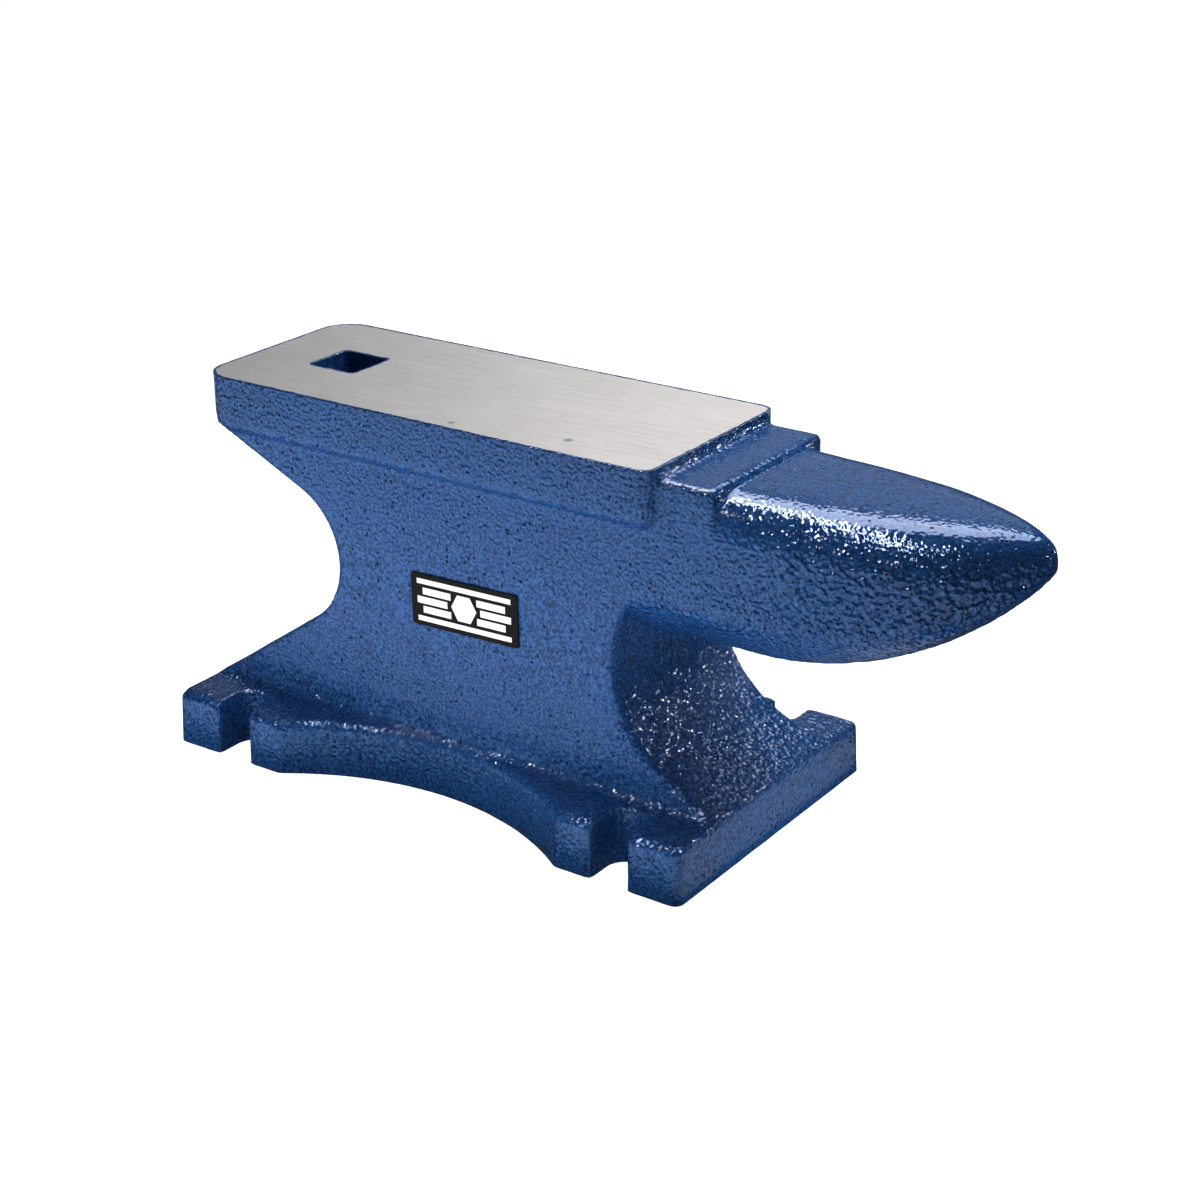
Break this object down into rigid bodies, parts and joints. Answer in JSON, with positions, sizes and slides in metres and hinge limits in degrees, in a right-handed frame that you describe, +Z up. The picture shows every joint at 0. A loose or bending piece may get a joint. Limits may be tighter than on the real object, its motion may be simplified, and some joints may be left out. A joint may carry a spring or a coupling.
{
  "type": "anvil",
  "caption": "Small cast-iron anvil with a ground flat face, square hardie hole, stepped table, rounded horn, slotted base and a side badge.",
  "frame": {"origin": "centre of the base's flat underside, on the anvil's long centre plane", "axes": "+Z up out of the ground face, +X lengthwise towards the horn's tip, +Y across the anvil, away from the badge side"},
  "size_m": [0.401, 0.1524, 0.1746],
  "materials": {
    "ground_iron": "grey cast iron, ground flat on the face with fine lengthwise grinding lines, dark and bare underneath",
    "blue_enamel": "glossy royal-blue enamel over a rough sand casting, fine orange peel with small dark pits",
    "adhesive_foam": "black double-sided adhesive foam",
    "badge_black": null
  },
  "bodies": {
    "root": {"anvil_casting": "ground_iron", "enamel_coat": "blue_enamel", "badge_adhesive": "adhesive_foam", "badge_plate": "badge_black"}
  },
  "joints": []
}
